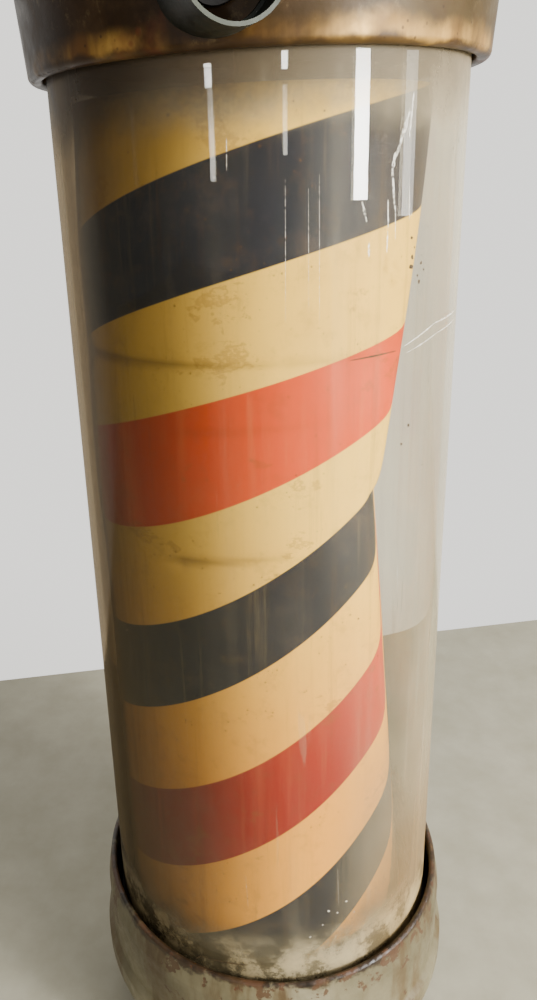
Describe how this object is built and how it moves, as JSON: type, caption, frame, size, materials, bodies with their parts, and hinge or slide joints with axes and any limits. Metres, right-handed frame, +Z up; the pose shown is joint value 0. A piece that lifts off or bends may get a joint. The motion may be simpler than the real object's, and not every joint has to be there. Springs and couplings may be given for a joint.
{
  "type": "barber pole light",
  "caption": "Floor or wall barber pole light: a motor-driven striped drum with lamps inside turns in a clear tube between a spun metal cap and base.",
  "frame": {"origin": "on the column's axis, level with the underside of the rubber foot ring", "axes": "+Z up along the column and tube; the arm socket on the cap stands out towards -Y, turned 19.7 degrees towards +X"},
  "size_m": [0.229, 0.2512, 0.7265],
  "materials": {
    "enamel": "aged off-white enamel with rust at the edges",
    "aged_cap_metal": "stained and tarnished",
    "arm_enamel": "old dark green enamel, worn pale at the mouth",
    "black_rubber": "matt",
    "plated_steel": "dull zinc plating",
    "frame_steel": "grey primer",
    "clear_acrylic": "clear, yellowed and hazed",
    "striped_film": "translucent film, aged cream with dark blue and red stripes",
    "white_plastic": "moulded",
    "gear_plastic": "natural nylon",
    "brass": "turned",
    "motor_steel": "pressed can",
    "lamp_aluminium": "drawn",
    "lamp_glass": "phosphor coated inside",
    "ballast_enamel": "black varnish",
    "wire_insulation": "soft vinyl"
  },
  "bodies": {
    "root": {"base_bowl": "enamel", "foot_ring": "black_rubber", "frame_pillars": "plated_steel", "base_screws": "plated_steel", "plate_screws": "plated_steel", "base_plate": "frame_steel", "top_plate": "frame_steel", "clear_tube": "clear_acrylic", "tube_seat_bottom": "black_rubber", "tube_seat_top": "black_rubber", "centre_column": "plated_steel", "column_nuts": "plated_steel", "thrust_collar": "brass", "collar_set_screw": "plated_steel", "motor_gearbox": "motor_steel", "motor_body": "motor_steel", "motor_screws": "plated_steel", "motor_nuts": "plated_steel", "lamp_bracket_bottom": "frame_steel", "lamp_bracket_top": "frame_steel", "lampholders": "white_plastic", "lamp_end_caps": "lamp_aluminium", "lamp_tubes": "lamp_glass", "ballast": "ballast_enamel", "ballast_screws": "plated_steel", "starter_sockets": "white_plastic", "starters": "lamp_aluminium", "terminal_block": "white_plastic", "terminal_screws": "brass", "top_cap": "aged_cap_metal", "arm_socket": "arm_enamel", "cable_grommet": "black_rubber", "cap_washer": "plated_steel", "cap_nut": "aged_cap_metal", "wiring_cap": "wire_insulation", "wiring_base": "wire_insulation"},
    "drum": {"stripe_sheet": "striped_film", "drum_top_disc": "white_plastic", "drum_bottom_disc": "white_plastic", "drum_bush_top": "brass", "drum_bush_bottom": "brass", "drum_gear": "gear_plastic", "gear_screws": "plated_steel"},
    "pinion": {"motor_pinion": "gear_plastic", "motor_shaft": "plated_steel"}
  },
  "joints": [
    {"name": "drum_spin", "type": "hinge", "parent": "root", "child": "drum", "pos_m": [0, 0, 0.1], "axis": [0, 0, 1], "continuous": true},
    {"name": "pinion_spin", "type": "hinge", "parent": "root", "child": "pinion", "pos_m": [0, 0.0587, 0.09], "axis": [0, 0, 1], "continuous": true}
  ],
  "couplings": [
    {"joint": "pinion_spin", "follows": "drum_spin", "ratio": -3.3333}
  ]
}
